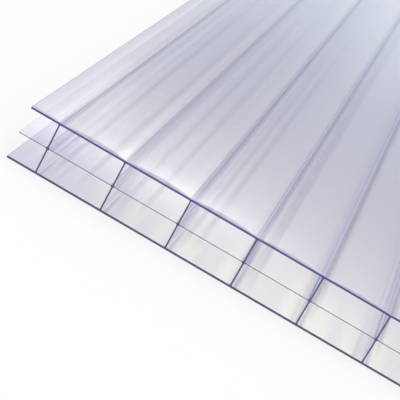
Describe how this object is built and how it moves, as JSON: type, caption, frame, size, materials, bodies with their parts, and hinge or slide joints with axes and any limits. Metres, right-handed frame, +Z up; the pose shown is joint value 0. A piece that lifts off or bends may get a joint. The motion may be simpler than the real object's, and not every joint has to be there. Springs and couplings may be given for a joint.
{
  "type": "multiwall polycarbonate sheet",
  "caption": "Clear 16 mm triple-wall polycarbonate glazing sheet with flat outer skins, a thin middle skin, upright webs, flutes open at the cut ends and open lips along the sides.",
  "frame": {"origin": "centre of the sheet's underside, on the floor it lies on", "axes": "+X across the webs, along the sheet's width, +Y along the flutes and +Z up through the thickness"},
  "size_m": [0.7, 1, 0.016],
  "materials": {
    "clear_polycarbonate": "clear, smooth and glossy, with a faint blue-violet tint that deepens at the cut edges"
  },
  "bodies": {
    "root": {"multiwall_sheet": "clear_polycarbonate"}
  },
  "joints": []
}
